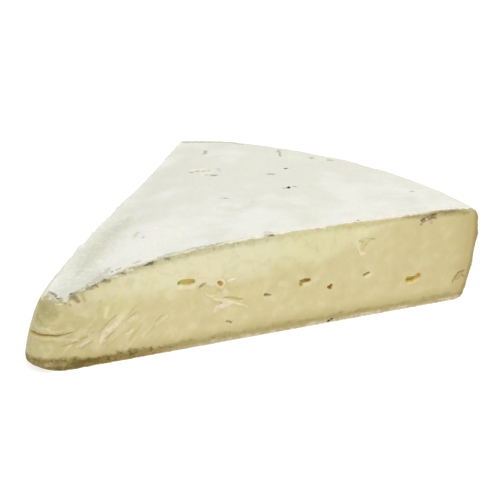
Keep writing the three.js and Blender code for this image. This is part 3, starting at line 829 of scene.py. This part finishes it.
    # felt: white mould in greener, greyer, warmer and flecked patches, greyer further from the front cut
    mottle, softMottle = cloud(9, 4, 6.0), cloud(24, 2, 2.0)
    fromFront = place.split()[1] - low.y / mm
    lighter = (mottle + softMottle - fromFront.step(4, 60) * .18).step(-.3, .2)
    felt = lighter.tint(tones["feltShade"], tones["feltLight"])
    felt = (cloud(5, 4, 40.0).step(.1, .3) * .3).tint(felt, tones["feltGrey"])
    felt = (cloud(12, 4, 60.0).step(.06, .3) * .45).tint(felt, tones["feltWarm"])
    felt = (cloud(1.6, 3, 80.0).step(.12, .26) * .3).tint(felt, tones["feltFleck"])
    felt = (cloud(3.2, 4, 52.0).step(.05, .2) * fromTop.step(1, 5) * .4).tint(felt, tones["heelTan"])
    nearest = stored("depth", 2)
    beside = reach.step(45, 62).tint(tones["feltByNose"], tones["feltByCut"])
    felt = ((byCut - .3 + jag * .9).step(.1, .7) * .75).tint(felt, beside)
    felt = (byCut.step(.5, .95) * (fleck + jag).step(.12, .28) * crumbly * .4).tint(felt, tones["feltCrumb"])
    # bare is 1 where the knife went through paste or rind, and 0 on the felt, which hangs lower by the dent
    hang = reach.step(90, 104) * (1 - reach.step(116, 124)) * .4
    under = (fromTop - crumbly * .4 - hang).least(nearest)
    bare = (under - .1 - jag * .9).step(0, .25) * nearest.step(.02, .08)
    look = bare.tint(felt, edge)
    painted = look.add("ShaderNodeMix", {"data_type": "RGBA"}, {0: cover, 6: look, 7: (0, 0, 0, 1)}, 2)
    look = look.add("ShaderNodeVectorMath", {"operation": "ADD"}, {0: painted, 1: paint})
    tree.links.new(look.socket, shader.inputs["Base Color"])

    inPaste = bare * (1 - topBand) * (1 - footBand)
    smoother = inPaste * (finish["feltRoughness"] - finish["pasteRoughness"])
    rough = finish["feltRoughness"] - smoother + blotches * .1
    tree.links.new(rough.socket, shader.inputs["Roughness"])
    pile = (cloud(.45, 4, 5.0) * .9 + cloud(1.4, 3, 15.0)) * (1 - inPaste)
    pile = pile + cloud(2.0, 4, 25.0) * inPaste * .5
    bump = pile.add("ShaderNodeBump", None, {
        "Strength": finish["bumpStrength"], "Distance": finish["bumpDepth"] * mm, "Height": pile})
    tree.links.new(bump.socket, shader.inputs["Normal"])

    shader.inputs["Subsurface Weight"].default_value = finish["glow"]
    shader.inputs["Subsurface Radius"].default_value = finish["glowRadius"]
    shader.inputs["Subsurface Scale"].default_value = finish["glowScale"] * mm
    shader.inputs["Specular IOR Level"].default_value = finish["gloss"]
    return material


print("cutting and refining the wedge")
bm = makeBlock()
refine(bm)
bmesh.ops.recalc_face_normals(bm, faces=bm.faces)
mesh = bpy.data.meshes.new("cheese_wedge_detail")
bm.to_mesh(mesh)
bm.free()
print("triangles", len(mesh.polygons))
shapeCheese(mesh)
mesh.shade_smooth()
mesh.materials.append(makeCheese())
cheese = bpy.data.objects.new("cheese_wedge_detail", mesh)
bpy.context.scene.collection.objects.link(cheese)
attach(cheese, "root")
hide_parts("cheese_wedge")

print("floor, lights and camera")
studio = dict(
    floorSize=4.0, floorDrop=.0002, floorTone=.46, floorGlow=.72,
    aim=(.0190, .0075, 0), distance=.350, azimuth=-20.9, elevation=22.83,
    lens=62.42, sensor=36, clip=(.01, 20),
    skyStrength=.6,
    lights=(
        dict(name="overhead", azimuth=15, elevation=65, distance=3.0, size=2.0, power=41.5),
        dict(name="front", azimuth=10, elevation=25, distance=3.0, size=2.0, power=2),
    ),
)
bm = bmesh.new()
bmesh.ops.create_grid(bm, x_segments=1, y_segments=1, size=studio["floorSize"] / 2)
floorMesh = bpy.data.meshes.new("floor")
bm.to_mesh(floorMesh)
bm.free()
floor = bpy.data.objects.new("floor", floorMesh)
bpy.context.scene.collection.objects.link(floor)
floor.location.z = -studio["floorDrop"]
paper = bpy.data.materials.new("pale_paper")
paper.use_nodes = True
paperShader = paper.node_tree.nodes["Principled BSDF"]
paperShader.inputs["Base Color"].default_value = (*[studio["floorTone"]] * 3, 1)
paperShader.inputs["Roughness"].default_value = 1
paperShader.inputs["Specular IOR Level"].default_value = 0
paperShader.inputs["Emission Color"].default_value = (1, 1, 1, 1)
paperShader.inputs["Emission Strength"].default_value = studio["floorGlow"]
floorMesh.materials.append(paper)

sky = bpy.data.worlds.new("studio")
sky.use_nodes = True
sky.node_tree.nodes["Background"].inputs["Color"].default_value = (1, 1, 1, 1)
sky.node_tree.nodes["Background"].inputs["Strength"].default_value = studio["skyStrength"]
bpy.context.scene.world = sky
bpy.context.scene.view_settings.view_transform = "Standard"


# Azimuth 0 is straight in front of the front cut, and grows towards the heel.
def directionTo(azimuth, elevation):
    a, e = math.radians(azimuth), math.radians(elevation)
    return Vector((math.sin(a) * math.cos(e), -math.cos(a) * math.cos(e), math.sin(e)))


def softLight(name, azimuth, elevation, distance, size, power):
    data = bpy.data.lights.new(name, "AREA")
    data.shape, data.size, data.energy = "DISK", size, power
    light = bpy.data.objects.new(name, data)
    away = directionTo(azimuth, elevation)
    light.location = away * distance
    light.rotation_euler = away.to_track_quat("Z", "Y").to_euler()
    bpy.context.scene.collection.objects.link(light)


for light in studio["lights"]:
    softLight(**light)

camera = bpy.data.objects.new("camera", bpy.data.cameras.new("camera"))
camera.data.lens, camera.data.sensor_width = studio["lens"], studio["sensor"]
back = directionTo(studio["azimuth"], studio["elevation"])
camera.location = Vector(studio["aim"]) + back * studio["distance"]
camera.rotation_euler = back.to_track_quat("Z", "Y").to_euler()
camera.data.clip_start, camera.data.clip_end = studio["clip"]
bpy.context.scene.collection.objects.link(camera)
bpy.context.scene.camera = camera
